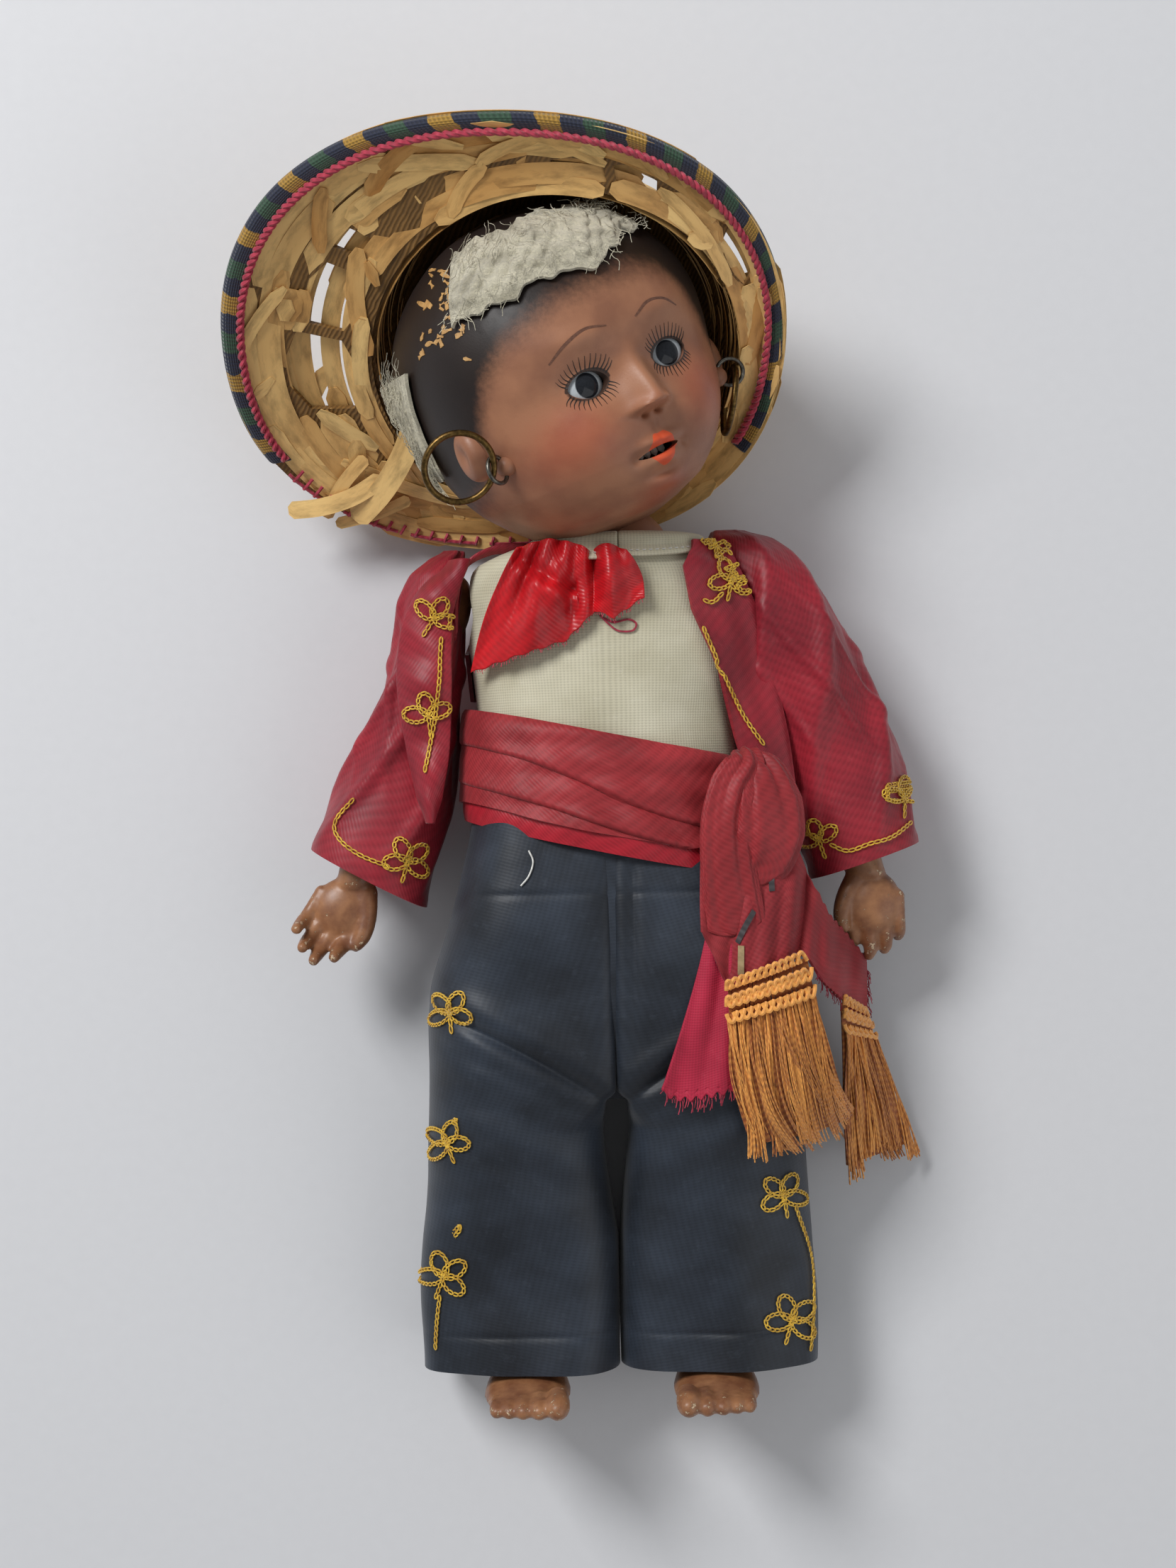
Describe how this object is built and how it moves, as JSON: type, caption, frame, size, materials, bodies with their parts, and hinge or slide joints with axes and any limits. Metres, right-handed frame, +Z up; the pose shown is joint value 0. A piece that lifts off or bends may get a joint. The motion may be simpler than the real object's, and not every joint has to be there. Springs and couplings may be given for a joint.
{
  "type": "folk costume doll",
  "caption": "Strung costume doll lying on its back: hollow socket head with set eyes, jointed body, suit with sash and fringes, torn straw hat, ear hoops.",
  "frame": {"origin": "middle of the base of the whole doll as it lies on its back", "axes": "+Z up from the surface and out of the chest, +Y towards the head, +X towards the doll's left hand"},
  "size_m": [0.1322, 0.2408, 0.0664],
  "materials": {
    "bisque": "satin fired skin tint",
    "eye_glass": "glossy opaque",
    "plaster": "matt",
    "enamel": "glossy",
    "card": "matt",
    "wadding": "fibrous",
    "timber": "bare",
    "wire": "dull",
    "antique_brass": "tarnished",
    "composition": "painted satin",
    "elastic": "matt",
    "shirt_lawn": "plain weave",
    "ribbon": "satin",
    "jacket_sateen": "sateen",
    "trouser_sateen": "sateen",
    "sash_sateen": "faded sateen",
    "sash_lining": "sateen",
    "floss": "silky strands",
    "palm_straw": "split palm, dry",
    "woven_band": "coarse weave",
    "crimson_cord": "twisted"
  },
  "bodies": {
    "trunk": {"torso": "composition", "shirt": "shirt_lawn", "shirt_collar": "shirt_lawn", "bow": "ribbon", "jacket_back": "jacket_sateen", "jacket_front_left": "jacket_sateen", "trousers_seat": "trouser_sateen", "sash_band": "sash_sateen", "sash_knot": "sash_sateen", "arm_elastic": "elastic", "leg_elastic": "elastic", "neck_elastic": "elastic"},
    "neck_link": {"neck_hook": "wire"},
    "neck_swivel": {"neck_button": "timber"},
    "head": {"head": "bisque", "eye_right": "eye_glass", "eye_left": "eye_glass", "eye_plaster": "plaster", "teeth": "enamel", "pate": "card", "wig_pad_front": "wadding", "wig_pad_side": "wadding"},
    "hat": {"hat_crown": "palm_straw", "hat_brim": "palm_straw", "hat_band": "woven_band", "hat_cord": "crimson_cord", "hat_loose_straw": "palm_straw"},
    "ring_right": {"ear_ring_right": "wire"},
    "hoop_right": {"ear_hoop_right": "antique_brass"},
    "ring_left": {"ear_ring_left": "wire"},
    "hoop_left": {"ear_hoop_left": "antique_brass"},
    "arm_right": {"arm_right": "composition", "arm_right_bar": "wire", "sleeve_right": "jacket_sateen", "jacket_front_right": "jacket_sateen"},
    "arm_left": {"arm_left": "composition", "arm_left_bar": "wire", "sleeve_left": "jacket_sateen"},
    "leg_right": {"leg_right": "composition", "leg_right_bar": "wire", "trouser_leg_right": "trouser_sateen"},
    "leg_left": {"leg_left": "composition", "leg_left_bar": "wire", "trouser_leg_left": "trouser_sateen"},
    "sash_ends": {"sash_end_front": "sash_sateen", "sash_end_plain": "sash_lining", "fringe_front": "floss", "fringe_side": "floss"}
  },
  "joints": [
    {"name": "neck_nod", "type": "hinge", "parent": "trunk", "child": "neck_link", "pos_m": [0.00924, 0.04388, 0.0264], "axis": [1, 0, 0], "range_deg": [-10, 0]},
    {"name": "neck_tilt", "type": "hinge", "parent": "neck_link", "child": "neck_swivel", "pos_m": [0.00924, 0.04388, 0.0264], "axis": [0, -0.1392, 0.9903], "range_deg": [-21.5, 0]},
    {"name": "head_turn", "type": "hinge", "parent": "neck_swivel", "child": "head", "pos_m": [0.00924, 0.04388, 0.0264], "axis": [-0.3665, 0.9214, 0.1295], "range_deg": [-40, 15]},
    {"name": "hat_lift", "type": "slide", "parent": "head", "child": "hat", "axis": [0, 0.6428, -0.766], "range_m": [0, 0.06]},
    {"name": "shoulder_right", "type": "hinge", "parent": "trunk", "child": "arm_right", "pos_m": [-0.01986, 0.03608, 0.02], "axis": [-1, 0, 0], "range_deg": [-40, 90]},
    {"name": "shoulder_left", "type": "hinge", "parent": "trunk", "child": "arm_left", "pos_m": [0.03114, 0.03608, 0.02], "axis": [-1, 0, 0], "range_deg": [-40, 90]},
    {"name": "hip_right", "type": "hinge", "parent": "trunk", "child": "leg_right", "pos_m": [-0.01036, -0.04592, 0.0192], "axis": [-1, 0, 0], "range_deg": [0, 90]},
    {"name": "hip_left", "type": "hinge", "parent": "trunk", "child": "leg_left", "pos_m": [0.02164, -0.04592, 0.0192], "axis": [-1, 0, 0], "range_deg": [0, 90]},
    {"name": "sash_swing", "type": "hinge", "parent": "trunk", "child": "sash_ends", "pos_m": [0.03164, -0.01692, 0.041], "axis": [-1, 0, 0], "range_deg": [0, 90]},
    {"name": "ear_ring_right_swing", "type": "hinge", "parent": "head", "child": "ring_right", "pos_m": [-0.01197, 0.05783, 0.05547], "axis": [-0.3665, 0.9214, 0.1295], "range_deg": [-8, 8]},
    {"name": "ear_hoop_right_swing", "type": "hinge", "parent": "ring_right", "child": "hoop_right", "pos_m": [-0.01402, 0.05662, 0.05831], "axis": [-0.3665, 0.9214, 0.1295], "range_deg": [-8, 8]},
    {"name": "ear_ring_left_swing", "type": "hinge", "parent": "head", "child": "ring_left", "pos_m": [0.02793, 0.07664, 0.0346], "axis": [-0.3665, 0.9214, 0.1295], "range_deg": [0, 6]},
    {"name": "ear_hoop_left_swing", "type": "hinge", "parent": "ring_left", "child": "hoop_left", "pos_m": [0.03136, 0.07801, 0.03457], "axis": [-0.3665, 0.9214, 0.1295], "range_deg": [0, 6]}
  ],
  "couplings": [
    {"joint": "sash_swing", "follows": "hip_left", "ratio": 1}
  ]
}
